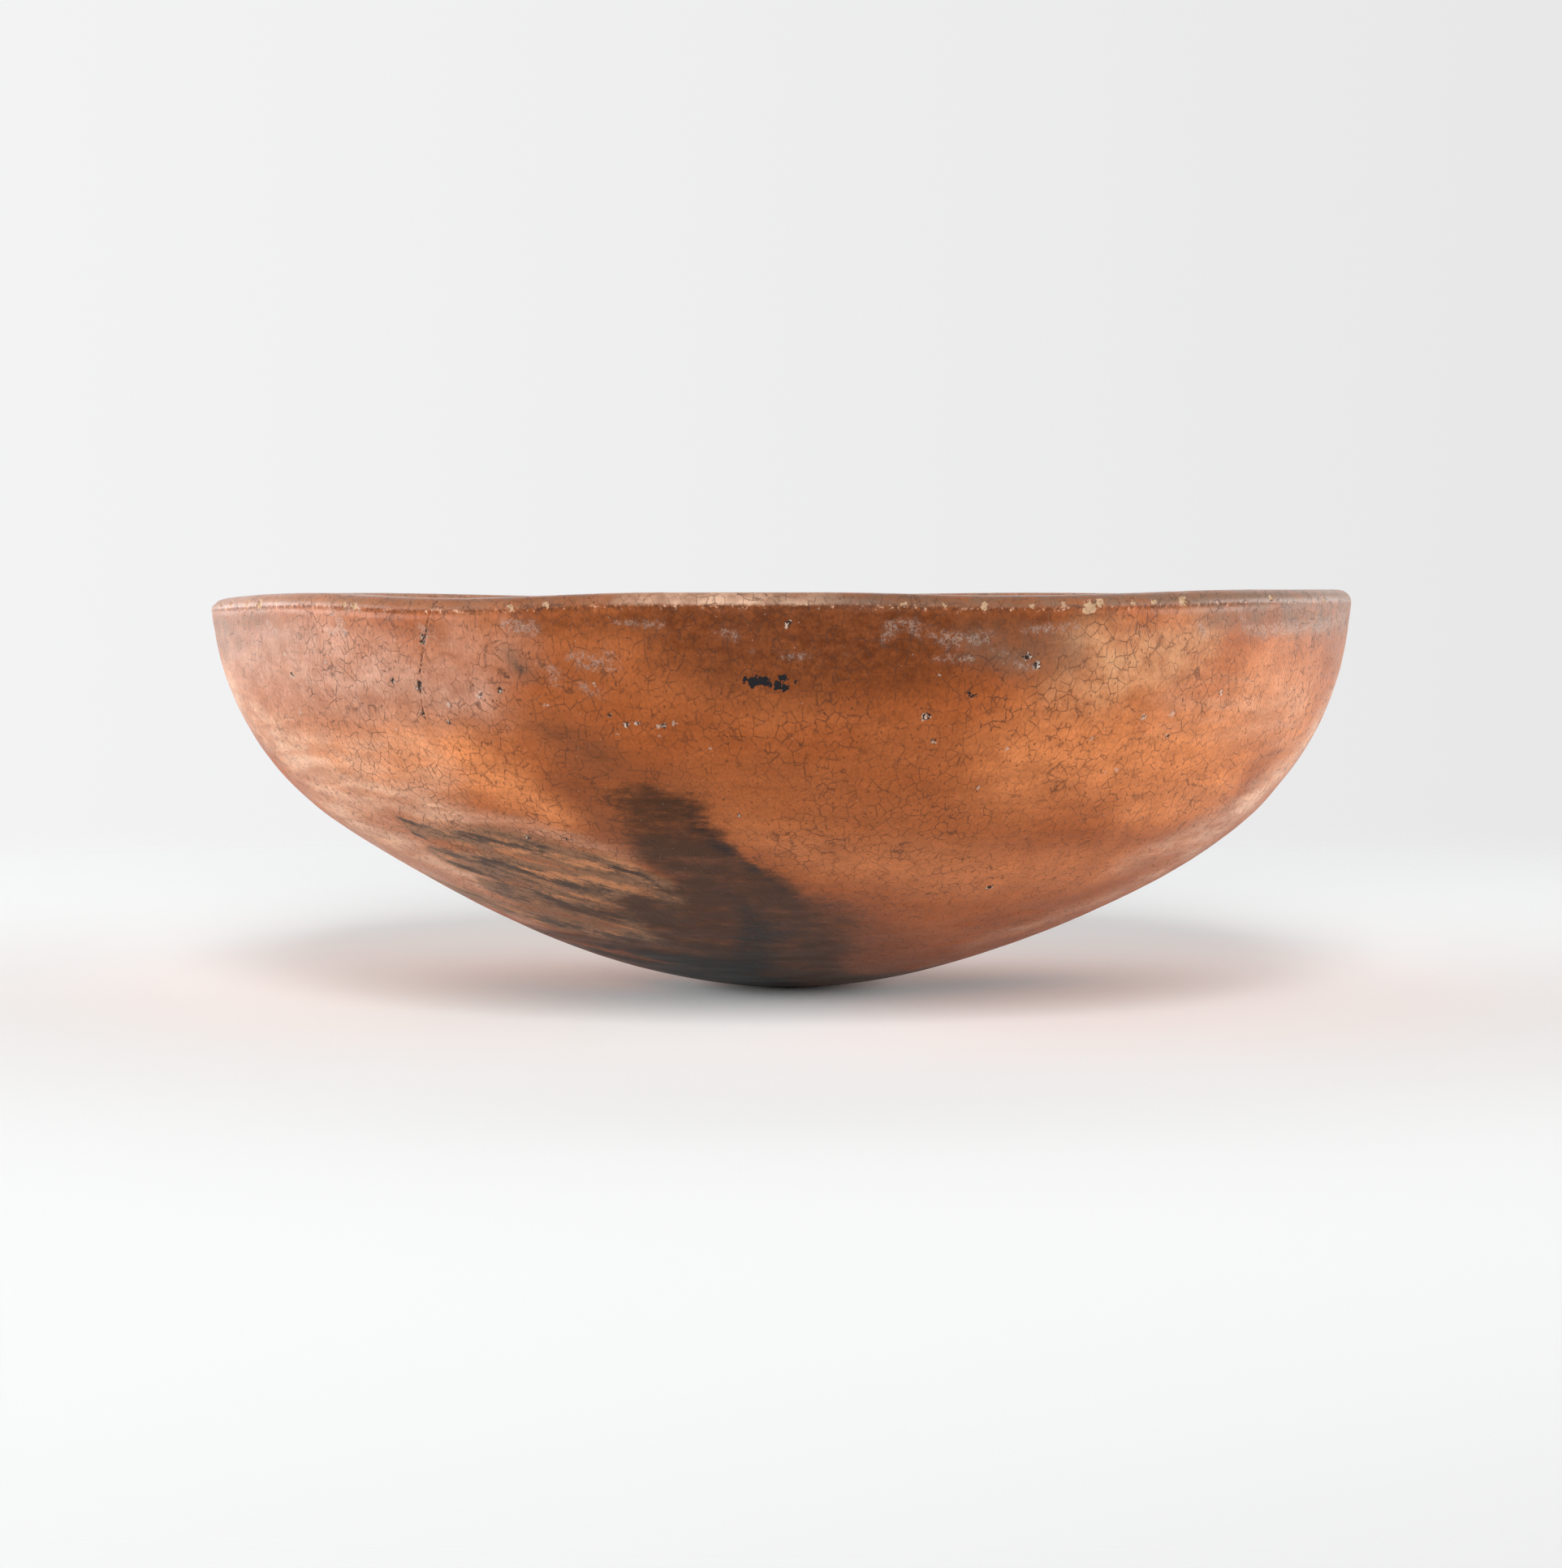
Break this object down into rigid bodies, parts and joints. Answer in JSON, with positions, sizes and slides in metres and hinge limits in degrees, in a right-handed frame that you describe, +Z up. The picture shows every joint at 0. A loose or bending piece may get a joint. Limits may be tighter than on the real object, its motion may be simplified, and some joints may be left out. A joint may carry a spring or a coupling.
{
  "type": "pottery bowl",
  "caption": "Wide, shallow hand-built earthenware bowl with a rounded bottom, a small worn resting spot and a rounded, slightly wavy lip.",
  "frame": {"origin": "on the floor under the middle of the rim", "axes": "+Z up out of the mouth, -Y towards the viewer of the picture, +X to the viewer's right"},
  "size_m": [0.36, 0.357, 0.1262],
  "materials": {
    "smoked_clay": "burnished, smoke-darkened by the fire",
    "burnished_clay": "burnished orange-red slip, crazed, satin",
    "worn_lip_clay": "slip worn through to pale clay on the lip"
  },
  "bodies": {
    "root": {"base_pat": "smoked_clay", "wall_coil_1": "burnished_clay", "wall_coil_2": "burnished_clay", "wall_coil_3": "burnished_clay", "wall_coil_4": "burnished_clay", "wall_coil_5": "burnished_clay", "wall_coil_6": "burnished_clay", "rim_coil": "worn_lip_clay"}
  },
  "joints": []
}
